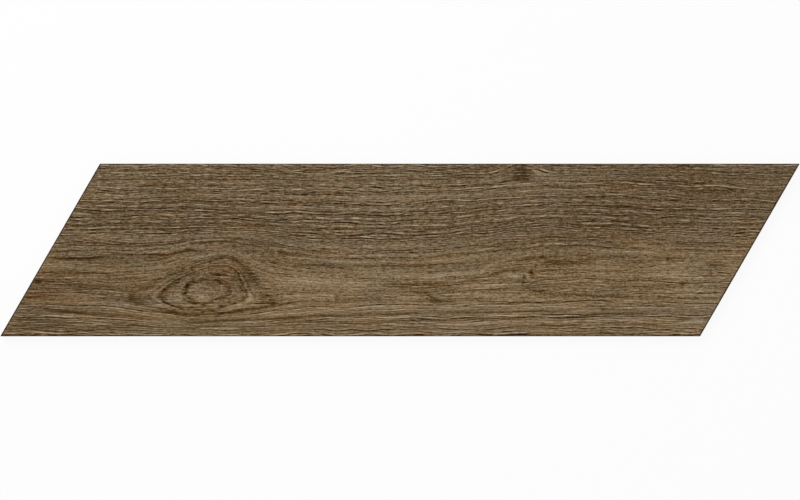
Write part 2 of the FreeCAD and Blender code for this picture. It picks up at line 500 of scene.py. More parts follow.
@dataclass(frozen=True)
class Knot:
    """Large knot, cut across so that its rings close round its heart."""

    heart: tuple[float, float] = (-165.5, -34.5)
    heart_level: float = -64.0
    step: float = 10.0  # of the grain field from ring to ring
    climb: float = 1.5  # of the field for each millimetre outside the last ring
    climb_growth: float = 0.12  # how soon that steepens
    rim: float = 8.0  # width in which the inside gives way to the board
    rings: tuple[Ring, ...] = (
        Ring(1.7, (
            (-184.5, -37, -1.8), (-183.5, -32.5, -1.8), (-180, -28.5, -1.6), (-175, -26, -0.9),
            (-168, -25, -0.6), (-160, -25, -0.8), (-153.5, -27, -1.2), (-147.5, -31, -1.2),
            (-146, -35, -1.2), (-151, -40, -1.3), (-159.5, -43.5, -1.4), (-168, -46.5, -1.6),
            (-175.5, -45.5, -1.7), (-181.5, -42.5, -1.8),
        )),
        Ring(1.7, (
            (-205.5, -40.5, -1.5), (-201.5, -36, -1.5), (-197, -31.5, -1.5), (-193.5, -27.5, -1.4),
            (-188.5, -25, -1.2), (-181.5, -21.5, -0.8), (-175, -19, -0.9), (-167, -16.5, -0.8),
            (-160, -14.5, -1.0), (-151, -14, -1.1), (-144, -16, -0.9), (-139, -20.5, -1.1),
            (-137.5, -26.5, -1.0), (-134.5, -32.5, -1.1), (-132, -37.5, -1.0), (-135.5, -42, -0.8),
            (-144, -45.5, -1.2), (-154, -48.5, -1.4), (-166, -50.5, -1.3), (-180, -50, -1.3),
            (-190, -49, -1.7), (-197, -46, -1.8), (-202, -43, -1.7),
        )),
        Ring(1.8, (
            (-236.5, -41, -0.8), (-227, -37, -0.7), (-218.5, -32.5, -0.6), (-210, -28.5, -0.8),
            (-201.5, -23, -0.7), (-190, -19, -0.9), (-180, -16, -0.8), (-171.5, -11.5, -0.9),
            (-163, -8.5, -1.1), (-154, -6.5, -1.3), (-145.5, -7, -1.3), (-139, -10, -1.2),
            (-134.5, -14.5, -0.8), (-128.5, -19, -0.7), (-124, -24, -0.7), (-122.5, -30, -0.6),
            (-120, -36, -0.6), (-113, -41, -0.8), (-106, -45.5, -0.8), (-116.5, -49.5, -0.9),
            (-128.5, -51, -0.9), (-139, -52.5, -0.9), (-152.5, -54.5, -1.1), (-167, -55.5, -0.6),
            (-180, -55.5, -0.9), (-190, -54, -1.2), (-200.5, -52.5, -1.0), (-209, -49.5, -1.0),
            (-217.5, -47, -1.0), (-228, -44, -0.9),
        )),
    )

    def read(self, x: np.ndarray, y: np.ndarray) -> KnotReading:
        """Reads the knot at some points.

        Args:
            x: place of each point along the tile.
            y: place of each point across it.

        Returns:
            The reading at each point.
        """
        turn = np.arctan2(y - self.heart[1], x - self.heart[0])
        reach = np.hypot(y - self.heart[1], x - self.heart[0])
        count = np.zeros_like(x)
        inner = np.zeros_like(x)
        gaps, tones = [], []
        for ring in self.rings:
            directions, radii, strengths = ring.around(self.heart)
            lean = np.gradient(np.log(np.concatenate([radii[-1:], radii, radii[:1]])))[1:-1]
            slant = 1 / np.hypot(1, lean * ring.DIRECTIONS / (2 * math.pi))
            radius = np.interp(turn, directions, radii, period=2 * math.pi)
            square = np.interp(turn, directions, slant, period=2 * math.pi)
            count += np.clip((reach - inner) / (radius - inner), 0, 1)
            gaps.append((reach - radius) * square)
            tones.append(np.interp(turn, directions, strengths, period=2 * math.pi))
            inner = radius
        beyond = np.maximum(gaps[-1], 0)
        level = self.heart_level + self.step * count + self.climb * beyond + self.climb_growth * beyond**2
        share = np.clip(0.5 - gaps[-1] / self.rim, 0, 1)
        inside = share * share * (3 - 2 * share)
        return KnotReading(level, gaps, tones, inside, count + beyond / self.step)


@dataclass(frozen=True)
class Threads:
    """Fine lines side by side, each with a life of its own along the grain."""

    half_pitch: float
    bend: float  # length over which a line wanders and gives way to the next
    tone: float
    seed: int

    WANDER = 0.4  # half pitches that a line strays
    GROUP = 5.0  # half pitches of lines that wander together
    FADES = 2.5  # times that a line comes and goes in a bend
    FADE_LEVEL = 0.7
    FADE_SWING = 0.5
    FADE_SHIFT = 0.5  # cells, so that the fading doesn't follow the wander
    FULLEST = 2.0

    def at(self, x: np.ndarray, across: np.ndarray) -> np.ndarray:
        """Tone of the lines at each point.

        Args:
            x: place of each point along the tile.
            across: place of each point across the grain.

        Returns:
            The tone, about zero.
        """
        band = across / (self.GROUP * self.half_pitch)
        stray = self.WANDER * FibreNoise(self.seed).at(x / self.bend, band)
        line = FibreNoise(self.seed + 1).at(across / self.half_pitch + stray, np.zeros_like(x))
        fading = FibreNoise(self.seed + 2)
        fade = fading.at(self.FADES * x / self.bend + self.FADE_SHIFT, band + self.FADE_SHIFT)
        return self.tone * np.clip(self.FADE_LEVEL + self.FADE_SWING * fade, 0, self.FULLEST) * line


@dataclass(frozen=True)
class Reading:
    """What the figure says at each point of the face."""

    flow: np.ndarray  # across the grain, in millimetres
    tone: np.ndarray  # of colour, in steps of the print's own spread
    warmth: np.ndarray
    comb: np.ndarray  # strength of the fine lines
    tint: np.ndarray  # towards red above zero, towards olive below
    pressed: np.ndarray  # what the press plate has in relief
    straight: np.ndarray  # share of the fine lines that run straight along the tile
    even: np.ndarray  # share of them that runs on unbroken
    knot: KnotReading


@dataclass(frozen=True)
class OakFigure:
    """Figure of the oak board, in millimetres on the face."""

    knot: Knot = Knot()
    # Humps and hollows that every line of the grain follows
    swells: tuple[Patch, ...] = (
        Patch(-153, -8, 26, 14, 17),
        Patch(-169, -50, 46, 12, -14),
        Patch(-21, -4, 75, 32, -6),
        Patch(136, 21, 49, 37, 5.3),
        Patch(103, 74, 13, 9, 8),
        Patch(-198, -36, 23, 13, 5.5),
        Patch(210, 62, 40, 14, 3),
    )
    # Small drift of the lines between them
    wander: Drift = Drift(5, 70, 14, 0.35)
    ripple: Drift = Drift(5, 20, 5, 0.06, shift=7)
    knot_blend: float = 4.0  # height of the field over which the knot takes over from the flow
    # Lighter and darker parts of the board
    shades: tuple[Patch, ...] = (
        Patch(0, -15, 900, 12, 0.4, 2),
        Patch(0, -60, 900, 18, 0.7, 2),
        Patch(-320, -62, 45, 22, -0.45),
        Patch(-190, -47, 26, 8, 0.65),
        Patch(-55, -47, 20, 9, -0.35),
        Patch(275, -62, 30, 20, 0.3),
        Patch(40, 44, 90, 10, 0.3),
        Patch(150, 65, 25, 9, 0.35),
        Patch(-188, 46, 20, 9, -0.5),
        Patch(-190, 9, 70, 9, 0.2),
        Patch(34, 9, 40, 9, 0.3),
        Patch(110, 29, 110, 9, -0.3),
        Patch(-200, 28, 110, 10, -0.35),
        Patch(125, 46, 18, 9, 0.35),
        Patch(100, -46, 30, 9, 0.3),
        Patch(-257, -6, 18, 9, -0.3),
        Patch(-257, -28, 18, 9, 0.45),
        Patch(-120, -28, 16, 9, -0.35),
        Patch(-17, -28, 16, 8, 0.3),
        Patch(262, -46, 18, 9, 0.45),
        Patch(188, -54, 18, 16, 0.35),
        Patch(68, -64, 35, 9, -0.25),
        Patch(-325, -64, 35, 9, -0.2),
        Patch(257, 64, 18, 9, -0.35),
        Patch(-230, 64, 35, 9, 0.25),
        Patch(17, 46, 18, 9, 0.3),
        Patch(51, 46, 18, 9, -0.3),
        Patch(-60, -30, 60, 14, 0.35),
        Patch(10, -45, 90, 14, 0.25),
        Patch(270, -12, 50, 18, 0.5),
        Patch(190, -45, 110, 20, 0.2),
        Patch(200, 45, 60, 16, -0.45),
        Patch(-250, -50, 60, 30, -0.25),
        Patch(-30, 45, 100, 30, 0.1),
        Patch(-250, 10, 90, 25, -0.15),
        Patch(-150, 15, 40, 14, -0.2),
    )
    # Warmer parts
    warmths: tuple[Patch, ...] = (
        Patch(-100, -24, 260, 23, 0.55, 3),
        Patch(200, -18, 150, 29, 0.55, 3),
        Patch(-85, -33, 45, 14, 0.5),
        Patch(-150, -28, 35, 8, -0.7, 2),
        Patch(200, -15, 60, 16, 0.35),
        Patch(-98, -40, 30, 11, 0.7),
        Patch(265, -26, 40, 11, 0.5),
        Patch(-158, -60, 80, 14, 0.4, 2),
        Patch(0, -66, 900, 13, 0.5, 2),
        Patch(-15, -46, 90, 10, 0.4),
        Patch(180, -48, 50, 9, 0.35),
    )
    warm_drift: Drift = Drift(90, 40, 12, 0.35)
    # Parts with stronger or calmer fine streaks
    combings: tuple[Patch, ...] = (
        Patch(-80, 35, 90, 22, 0.15),
        Patch(0, 44, 900, 36, 0.04, 3),
        Patch(0, -62, 900, 17, 0.35, 3),
        Patch(-250, -25, 80, 18, -0.35),
        Patch(-60, -30, 60, 18, -0.4),
        Patch(-165, -30, 40, 22, -0.35),
        Patch(120, -15, 120, 18, -0.35),
        Patch(260, 30, 80, 40, -0.15),
    )
    # Parts where the lines are long and run on unbroken
    evens: tuple[Patch, ...] = (
        Patch(0, -62, 900, 17, 1.0, 3),
        Patch(-275, -30, 60, 22, 0.7, 2),
    )
    # Where the fine lines leave the flow and run straight: the pitch of the flow below which they
    # start to, its slope above which they do, and how much further takes all of them
    slack_pitch: float = 0.85
    slack_pitch_range: float = 0.4
    slack_slope: float = 0.2
    slack_slope_range: float = 0.3
    slack_reach: float = 0.5  # millimetres each way that the pitch and the slope are taken over
    pressed_threads: tuple[Threads, ...] = (
        Threads(2.2, 50, 0.08, 20),
        Threads(4.6, 80, 0.06, 28),
    )
    shade_threads: tuple[Threads, ...] = (
        Threads(8, 90, 0.11, 40),
        Threads(15, 120, 0.22, 44),
        Threads(30, 150, 0.12, 48),
    )
    veins: tuple[Vein, ...] = tuple(Vein.from_row(row) for row in VEIN_ROWS)
    vein_weight: float = 1.5
    vein_even_weight: float = 0.1  # more of it where the lines run on
    vein_upper_loss: float = 0.68  # less of it in the upper half
    vein_upper_rise: float = 20.0  # height over which that loss sets in
    vein_tears: Drift = Drift(78, 8, 1.1, 0.25, 0.9, 0.3, 1.3)
    vein_even_calm: float = 0.48  # share of the tears that is missing where the lines run on
    vein_sway: Drift = Drift(77, 22, 30, 0.25)
    spots: tuple[Spot, ...] = (
        # In the large knot
        Spot(-1.3, -147.5, -23, 6.9, 1.7, -14),
        Spot(-0.7, -181, -30, 2.6, 1.9, 40),
        Spot(-1.1, -227, -42, 12.9, 3.1, -6),
        Spot(-0.8, -134, -22, 9.0, 7.0, -40),
        Spot(-0.6, -126, -25, 4.3, 5.1),
        Spot(-0.9, -117.5, -43.5, 5.1, 3.4),
        Spot(-1.0, -111.5, -45.5, 6.9, 3.4, 8),
        Spot(-0.9, -158.5, -28.5, 10.3, 2.1, -3),
        Spot(1.6, -169, -40.5, 7.7, 2.1, -3),
        Spot(1.2, -173, -31.5, 6.0, 2.6, 28),
        Spot(0.9, -192, -40.5, 6.0, 3.4),
        Spot(1.3, -205.5, -47, 8.6, 1.9, -4),
        Spot(1.1, -128.5, -41, 7.7, 3.4, -30),
        Spot(1.0, -139, -46.5, 10.3, 1.9, 12),
        Spot(0.7, -152.5, -33.5, 3.4, 2.6),
        Spot(0.8, -124, -35, 4.3, 3.4),
        # Knot that the upper side cuts
        Spot(-2.0, 104.5, 65, 8.6, 7.3, 0, 2),
        Spot(1.8, 104.5, 56.5, 10.3, 1.2),
        Spot(1.6, 116.5, 67, 6.9, 1.2, -28),
        Spot(1.4, 124, 64, 8.6, 1.3, -8),
        # Round the pin knot
        Spot(1.2, 97.5, -22.5, 7.7, 1.7),
        # Others
        Spot(-1.1, -311, -26.5, 5.5, 2.4),
        Spot(-0.6, 133, -11, 15.4, 2.9, 0, 1.5),
        Spot(-0.4, 27.5, -38.5, 7.7, 3.4, -40),
    )
    spot_weight: float = 1.45
    spot_tears: Drift = Drift(81, 2.5, 1.1, 0.3, 0.9, 0.4, 1.3)
    spot_jag: Drift = Drift(80, 9, 1.3)
    spot_jag_reach: tuple[float, float] = (0.8, 0.2)  # how far that moves them along and across
    # Red stains above zero and olive ones below
    tints: tuple[Spot, ...] = (
        Spot(1.6, -160, 3.5, 6, 3),
        Spot(1.2, -139, 2, 7, 3),
        Spot(1.2, -109, -11, 6, 3),
        Spot(1.0, -181, -32, 6, 6),
        Spot(1.0, -150, -14, 14, 5),
        Spot(0.8, -150, -28, 30, 7),
        Spot(-1.6, -195, -29, 9, 5),
        Spot(-1.2, -185, -54, 12, 4),
        Spot(-1.2, -120, -43, 9, 6),
        Spot(-0.9, -228, -42, 10, 5),
        Spot(0.8, -60, -42, 40, 8),
        Spot(0.8, 155, -22, 30, 6),
        Spot(1.0, -292, -33, 55, 14),
        Spot(0.8, 240, 5, 90, 12),
        Spot(0.8, 8, -40, 10, 5),
        Spot(-0.8, 215, -46, 20, 6),
    )

    def flow(self, x: np.ndarray, y: np.ndarray) -> np.ndarray:
        """Distance across the grain, which keeps one value along each of its lines."""
        lift = sum(swell.at(x, y) for swell in self.swells)
        return y - lift + self.wander.at(x, y) + self.ripple.at(x, y)

    def field(self, flow: np.ndarray, knot: KnotReading) -> np.ndarray:
        """Flow with the large knot's closed rings let into it."""
        share = np.clip(0.5 + 0.5 * (flow - knot.level) / self.knot_blend, 0, 1)
        return flow * (1 - share) + knot.level * share - self.knot_blend * share * (1 - share)

    def slackness(self, x: np.ndarray, y: np.ndarray) -> np.ndarray:
        """Tells how far the lines spread out and lose their direction.

        Args:
            x: place of each point along the tile.
            y: place of each point across it.

        Returns:
            The share to which they do at each point, from 0 to 1.
        """
        reach = self.slack_reach
        pitch = (self.flow(x, y + reach) - self.flow(x, y - reach)) / (2 * reach)
        slope = np.abs(self.flow(x + reach, y) - self.flow(x - reach, y)) / (2 * reach)
        spread = (self.slack_pitch - pitch) / self.slack_pitch_range
        turned = (slope - self.slack_slope) / self.slack_slope_range
        return np.clip(np.maximum(spread, turned), 0, 1)

    def marks(self, x: np.ndarray, y: np.ndarray, even: np.ndarray) -> np.ndarray:
        """Tone of the veins and spots at each point.

        Args:
            x: place of each point along the tile.
            y: place of each point across it.
            even: share of the lines there that runs on unbroken.

        Returns:
            The tone.
        """
        upper = np.clip(y / self.vein_upper_rise, 0, 1)
        weight = self.vein_weight + self.vein_even_weight * even - self.vein_upper_loss * upper
        torn = self.vein_tears.at(x, y, 1 - self.vein_even_calm * even)
        sway = self.vein_sway.at(x, y)
        veins = weight * torn * sum(vein.at(x, y + sway) for vein in self.veins)
        jag = self.spot_jag.at(x, y)
        along, across = self.spot_jag_reach
        spots = sum(spot.at(x + along * jag, y + across * jag) for spot in self.spots)
        return veins + self.spot_weight * self.spot_tears.at(x, y) * spots

    def read(self, x: np.ndarray, y: np.ndarray) -> Reading:
        """Reads the whole figure at some points.

        Args:
            x: place of each point along the tile, in millimetres.
            y: place of each point across it.

        Returns:
            The reading at each point.
        """
        knot = self.knot.read(x, y)
        flow = self.flow(x, y)
        field = self.field(flow, knot)
        even = np.clip(sum(patch.at(x, y) for patch in self.evens), 0, 1)
        pressed = sum(threads.at(x, field) for threads in self.pressed_threads) + self.marks(x, y, even)
        shade = sum(patch.at(x, y) for patch in self.shades)
        shade += sum(threads.at(x, field) for threads in self.shade_threads)
        warmth = sum(patch.at(x, y) for patch in self.warmths) + self.warm_drift.at(x, y)
        comb = 1 + sum(patch.at(x, y) for patch in self.combings)
        tint = sum(spot.at(x, y) for spot in self.tints)
        straight = np.maximum(knot.inside, self.slackness(x, y))
        return Reading(flow, pressed + shade, warmth, comb, tint, pressed, straight, even, knot)


# Finishes


def linear(value: float) -> float:
    """Linear light of one colour value from 0 to 255."""
    share = min(max(value / 255, 0), 1)
    return share / 12.92 if share <= 0.04045 else ((share + 0.055) / 1.055) ** 2.4


def paint(colour: Colour, sheen: float = 0.0, step: float = 0.0) -> Paint:
    """Paint of a colour that is a step lighter, less the sheen that the finish adds by itself."""
    darkest = 0.001
    return *(max(linear(value + step) - sheen, darkest) for value in colour), 1.0


@dataclass(frozen=True)
class Touch:
    """How matt a finish is, and how uneven to the touch."""

    roughness: float
    specular: float
    relief: float  # height of the unevenness, in millimetres
    strength: float = 0.5  # of its shading
    sheen: float = 0.0  # white light that it adds by itself, for which its colours leave room


@dataclass(frozen=True)
class Cloud:
    """Smooth noise in a material."""

    cell: tuple[float, ...]  # length of its cells along two or three of the coordinates
    shift: float = 0.0  # picks another part of the noise
    swing: float = 1.0
    level: float = 0.0  # value that it swings about
    detail: float = 0.0  # how many finer layers it has

    @classmethod
    def lumps(cls, size: float, **settings: float) -> "Cloud":
        """Cloud with cells of one size all ways, in millimetres."""
        return cls((size * MM, size * MM, size * MM), **settings)


class Bench:
    """Node tree of one material or of the world, with short ways to add and join nodes."""

    def __init__(self, owner: bpy.types.Material | bpy.types.World) -> None:
        """Starts an empty tree.

        Args:
            owner: what the tree belongs to.
        """
        owner.use_nodes = True
        self.owner = owner
        self.tree = owner.node_tree
        self.tree.nodes.clear()

    def add(self, kind: str, inputs: dict[Any, Any] | None = None, **settings: Any) -> bpy.types.Node:
        """Adds one node.

        Args:
            kind: the node's type.
            inputs: what each input takes, a value or another node's output.
            **settings: properties of the node.

        Returns:
            The node.
        """
        node = self.tree.nodes.new(kind)
        for name, value in settings.items():
            setattr(node, name, value)
        for key, value in (inputs or {}).items():
            if isinstance(value, Socket):
                self.tree.links.new(value, node.inputs[key])
            else:
                node.inputs[key].default_value = value
        return node

    def carried(self, name: Carried) -> Socket:
        """Values that the mesh carries."""
        return self.add("ShaderNodeAttribute", attribute_name=name.value).outputs["Vector"]

    def place(self) -> Socket:
        """Place on the object, in its own coordinates."""
        return self.add("ShaderNodeTexCoord").outputs["Object"]

    def split(self, vector: Any) -> list[Socket]:
        """The three parts of a vector."""
        return list(self.add("ShaderNodeSeparateXYZ", {0: vector}).outputs)

    def plane(self, along: Any, across: Any) -> Socket:
        """Place on a plane, from its two coordinates."""
        return self.add("ShaderNodeCombineXYZ", {0: along, 1: across}).outputs[0]

    def moved(self, vector: Any, step: tuple[float, float, float], share: Any) -> Socket:
        """Vector with a share of a step added to it."""
        inputs = {0: step, 1: share, 2: vector}
        return self.add("ShaderNodeVectorMath", inputs, operation="MULTIPLY_ADD").outputs[0]

    def maths(self, operation: str, first: Any, second: Any = 0.0, third: Any = 0.0,
              clamp: bool = False) -> Socket:
        """Result of one sum on numbers."""
        inputs = {0: first, 1: second, 2: third}
        return self.add("ShaderNodeMath", inputs, operation=operation, use_clamp=clamp).outputs[0]

    def times(self, first: Any, second: Any) -> Socket:
        """Product of two numbers."""
        return self.maths("MULTIPLY", first, second)

    def times_plus(self, first: Any, second: Any, third: Any, clamp: bool = False) -> Socket:
        """Product of two numbers, plus a third."""
        return self.maths("MULTIPLY_ADD", first, second, third, clamp)

    def bell(self, off: Any) -> Socket:
        """Soft peak of height one, from the distance to its middle in its own widths."""
        return self.maths("EXPONENT", self.times(self.times(off, off), -1.0))

    def between(self, value: Any, start: float, end: float, first: float = 0.0, last: float = 1.0) -> Socket:
        """Number that goes from first to last while a value goes from start to end."""
        inputs = {0: value, 1: start, 2: end, 3: first, 4: last}
        return self.add("ShaderNodeMapRange", inputs).outputs[0]

    def noise(self, place: Any, cloud: Cloud) -> Socket:
        """Noise of a cloud by itself.

        Args:
            place: coordinates to read it at.
            cloud: the noise.

        Returns:
            The noise's value, from -0.5 to 0.5.
        """
        scale = [1 / length for length in cloud.cell] + [0.0] * (3 - len(cloud.cell))
        shift = (cloud.shift, cloud.shift, cloud.shift)
        move = self.add("ShaderNodeVectorMath", {0: place, 1: scale, 2: shift}, operation="MULTIPLY_ADD")
        inputs = {"Vector": move.outputs[0], "Scale": 1.0, "Detail": cloud.detail}
        texture = self.add("ShaderNodeTexNoise", inputs, noise_dimensions=f"{len(cloud.cell)}D")
        return self.maths("SUBTRACT", texture.outputs[0], 0.5)

    def streaks(self, place: Any) -> Socket:
        """Smooth noise along a line, with cells of length one.

        Args:
            place: coordinate to read it at.

        Returns:
            The noise's value, from -0.5 to 0.5.
        """
        inputs = {"W": place, "Scale": 1.0, "Detail": 0.0}
        texture = self.add("ShaderNodeTexNoise", inputs, noise_dimensions="1D")
        return self.maths("SUBTRACT", texture.outputs[0], 0.5)

    def cloud(self, place: Any, cloud: Cloud, level: Any = None, share: Any = None,
              clamp: bool = False) -> Socket:
        """Value that swings as a cloud does.

        Args:
            place: coordinates to read it at.
            cloud: the noise.
            level: what it swings about instead of the cloud's own level.
            share: part of the swing that is left.
            clamp: whether the value stays from 0 to 1.

        Returns:
            The value.
        """
        noise = self.noise(place, cloud)
        if share is not None:
            noise = self.times(noise, share)
        return self.times_plus(noise, cloud.swing, cloud.level if level is None else level, clamp)

    def ramp(self, value: Any, stops: list[tuple[float, Paint]]) -> Socket:
        """Picks a colour from stops.

        Args:
            value: what picks it, from 0 to 1.
            stops: value and colour of each stop, in order.

        Returns:
            The colour.
        """
        node = self.add("ShaderNodeValToRGB", {0: value})
        elements = node.color_ramp.elements
        for element, (place, colour) in zip(elements, (stops[0], stops[-1])):
            element.position = place
            element.color = colour
        for place, colour in stops[1:-1]:
            elements.new(place).color = colour
        return node.outputs[0]

    def mix(self, share: Any, first: Any, second: Any) -> Socket:
        """Colour between two others."""
        return self.add("ShaderNodeMix", {0: share, 6: first, 7: second}, data_type="RGBA").outputs[2]

    def blend(self, share: Any, first: Any, second: Any) -> Socket:
        """Number between two others."""
        return self.add("ShaderNodeMix", {0: share, 2: first, 3: second}, data_type="FLOAT").outputs[0]

    def finish(self, shader: bpy.types.Node) -> bpy.types.Material:
        """Makes a shader the material's surface."""
        self.add("ShaderNodeOutputMaterial", {"Surface": shader.outputs[0]})
        return self.owner

    def coat(self, colour: Any, height: Any, touch: Touch) -> bpy.types.Material:
        """Makes the material's surface.

        Args:
            colour: its colour.
            height: how far it stands up, as a share of the relief.
            touch: how matt and how uneven it is.

        Returns:
            The material.
        """
        inputs = {"Height": height, "Distance": touch.relief * MM, "Strength": touch.strength}
        bump = self.add("ShaderNodeBump", inputs)
        return self.finish(self.add("ShaderNodeBsdfPrincipled", {
            "Base Color": colour,
            "Roughness": touch.roughness,
            "Specular IOR Level": touch.specular,
            "Normal": bump.outputs[0],
        }))


@dataclass(frozen=True)
class PrintedThreads:
    """Lines side by side that are finer than the press plate holds, so they are printed alone."""

    half_pitch: float
    bend: float  # length over which a line strays
    tone: float
    shift: float  # picks a part of the noise

    STRAY = 3.0  # half pitches that a line strays over
    GROUP = 8.0  # half pitches of lines that stray together
    FADE_LENGTH = 0.33  # bends over which a line comes and goes
    FADE_GROUP = 2.4  # half pitches of lines that do so together
    FADE_SHIFT = 7.0  # from the noise of the stray
    FADE_SWING = 2.2
    FADE_LEVEL = 0.78

    def drawn(self, bench: Bench, plane: Any, across: Any, ragged: Any, under: Any) -> Socket:
        """Adds the lines to a tone.

        Args:
            bench: tree that they go in.
            plane: place along and across the grain.
            across: place across the grain.
            ragged: how broken they are, from 0 to 1.
            under: tone that they are added to.

        Returns:
            The tone with the lines in it.
        """
        stray = bench.cloud(plane, Cloud((self.bend, self.GROUP * self.half_pitch), self.shift, self.STRAY))
        line = bench.streaks(bench.times_plus(across, 1 / self.half_pitch, stray))
        cell = (self.FADE_LENGTH * self.bend, self.FADE_GROUP * self.half_pitch)
        fading = Cloud(cell, self.shift + self.FADE_SHIFT, self.FADE_SWING, self.FADE_LEVEL)
        fade = bench.maths("MAXIMUM", bench.cloud(plane, fading, share=ragged), 0.0)
        return bench.times_plus(bench.times(line, fade), self.tone, under)


@dataclass(frozen=True)
class PrintedOak:
    """Matt glaze over a digital print of brushed oak, in millimetres on the face."""

    ring_widths: tuple[float, ...]
    half_length: float  # of the face along a long side
    lean: float  # run of a mitred edge over its rise
    touch: Touch = Touch(0.6, 0.06, 0.02, sheen=0.0038)
    greyed: Colour = (109.1, 91.2, 67.7)  # mean colour where the wood is greyest
    warm: Colour = (116.4, 94.5, 65.8)  # mean colour where it is warmest
    warm_drift: Cloud = Cloud((24.0, 4.5), 41.0, 0.25)
    tone_step: float = 16.1  # how far a small step of tone moves each colour value
    tone_bend: float = 0.047  # share of that lost per step away from the mean
    tone_reach: float = 6.0  # steps that the print goes each way
    tone_stops: int = 15
    red_tint: tuple[float, float, float] = (0.006, -0.0015, -0.001)  # linear light of a step of red
    tint_drift: Cloud = Cloud((16.0, 5.0), 3.0, 2.1)
    # Painted shade along the mitred edges, standing in for the shade on their arris, dark up to some widths
    # from them
    edge_shade: Colour = (60, 48, 35)
    edge_shade_width: float = 0.5
    edge_shade_full: float = 0.4  # widths from the edge within which it is darkest
    edge_shade_end: float = 1.4  # widths from the edge at which it ends
    edge_shade_sway: Cloud = Cloud((5.0, 3.0), 61.0)
    # Rings of the large knot and the faint arcs between them
    ring_jag: Cloud = Cloud((9.0, 1.3), 5.0, 3.4)
    ring_bow: Cloud = Cloud((14.0, 6.0), 9.0, 3.5)
    ring_patches: Cloud = Cloud((9.0, 5.0), 15.0, 2.2, 1.85)
    ring_tears: Cloud = Cloud((5.0, 1.2), 21.0, 2.6, 0.95)
    arcs_per_ring: float = 6.0
    arc_tone: float = 2.4
    arc_jag: float = 0.12  # arcs that a millimetre of the rings' jag moves them by
    arc_end: tuple[float, float] = (2.8, 2.0)  # rings from the heart where the arcs end and are full
    heart_edge: tuple[float, float] = (0.6, 1.1)  # rings from the heart, where its faint arcs end
    heart_share: float = 0.3  # of the arcs' tone that is left in the heart
    # Marks too small for the press plate
    dots: tuple[Spot, ...] = (
        # In the large knot
        Spot(-4.6, -157, -21.1, 4.6, 1.3, -2),
        Spot(-1.8, -154.6, -21.3, 2.2, 1.2),
        Spot(-1.8, -149, -18.5, 5.0, 1.2, -8),
        Spot(-1.0, -182, -30.5, 2.4, 1.4, 40),
        Spot(-1.0, -185.5, -37, 1.3, 4.0, 0),
        Spot(-2.4, -178, -62.5, 2.2, 1.1),
        Spot(-2.0, -107.5, -11, 3.0, 1.2),
        Spot(-1.6, -109, -14.5, 2.6, 1.0),
        # Pin knot, with the dark sickle on its left
        Spot(-5.6, 112.1, -19.4, 2.1, 1.9, -25),
        Spot(-2.4, 116.4, -13.8, 1.5, 1.0, 35),
        Spot(-1.6, 107, -17.5, 2.2, 0.9, 45),
        Spot(-1.8, 106, -22.3, 0.8, 3.6, 3),
        Spot(-1.3, 105.6, -27, 1.2, 2.6, 12),
        Spot(-1.6, 109.5, -31.5, 1.2, 3.0, 55),
        Spot(-1.6, 116, -35, 4.5, 1.1, -14),
        Spot(-1.4, 124, -36.5, 5.0, 1.0, -6),
        Spot(1.0, 109.3, -23, 1.3, 3.6, 5),
        # Hook on the left of the lower middle
        Spot(-1.2, 22.5, -36, 1.4, 3.0, 35),
        Spot(-1.4, 27, -40.5, 3.6, 1.0, -38),
        Spot(-1.2, 34, -43.2, 4.0, 1.0, -6),
        # Others
        Spot(-2.4, -311, -26.5, 3.6, 1.4),
        Spot(-2.8, 229, -7.5, 1.7, 1.1),
        Spot(-2.2, -92.5, 42, 3.8, 1.1, -6),
    )
    dot_jag: Cloud = Cloud((5.0, 1.2), 31.0)
    dot_step: tuple[float, float, float] = (1.6, 0.3, 0.0)  # how far that moves their outlines
    # Lines finer than the press plate holds, and dashes between them
    threads: tuple[PrintedThreads, ...] = (
        PrintedThreads(1.0, 24.0, 10.4, 11.0),
        PrintedThreads(1.25, 34.0, 8.8, 37.0),
        PrintedThreads(1.6, 60.0, 2.0, 53.0),
    )
    thread_tears: Cloud = Cloud((7.0, 1.4), 47.0, 3.0, 0.86)
    dashes: tuple[Cloud, ...] = (
        Cloud((1.6, 1.1), 71.0, 3.6),
        Cloud((4.0, 1.2), 83.0, 3.9),
    )
    dark_lean: float = 0.02  # how far fine lines lean to the dark side
    even_calm: float = 0.28  # share of the breaks that is missing where the lines run on

    def stops(self, mean: Colour) -> list[tuple[float, Paint]]:
        """Colour stops from the darkest tone to the lightest.

        Args:
            mean: colour that they lie about.

        Returns:
            The place, from 0 to 1, and the colour of each stop.
        """
        stops = []
        for i in range(self.tone_stops):
            share = i / (self.tone_stops - 1)
            tone = (2 * share - 1) * self.tone_reach
            step = tone * self.tone_step * (1 - self.tone_bend * abs(tone))
            stops.append((share, paint(mean, self.touch.sheen, step)))
        return stops

    def fibres(self, bench: Bench, along: Any, across: Any, ragged: Any) -> Socket:
        """Tone of the fine lines.

        Args:
            bench: tree that they go in.
            along: place along the grain.
            across: place across the grain.
            ragged: how broken they are, from 0 to 1.

        Returns:
            The tone, about zero.
        """
        plane = bench.plane(along, across)
        total = 0.0
        for threads in self.threads:
            total = threads.drawn(bench, plane, across, ragged, total)
        return bench.times(total, bench.cloud(plane, self.thread_tears, share=ragged))

    def flecks(self, bench: Bench, plane: Any, ragged: Any) -> Socket:
        """Tone of the short dashes and the small marks.

        Args:
            bench: tree that they go in.
            plane: place on the face.
            ragged: how broken the lines between them are, from 0 to 1.

        Returns:
            The tone, about zero.
        """
        total = 0.0
        for dash in self.dashes:
            total = bench.cloud(plane, dash, total, ragged)
        shifted = bench.moved(plane, self.dot_step, bench.noise(plane, self.dot_jag))
        for dot in self.dots:
            total = bench.maths("ADD", total, dot.drawn(bench, shifted))
        return total

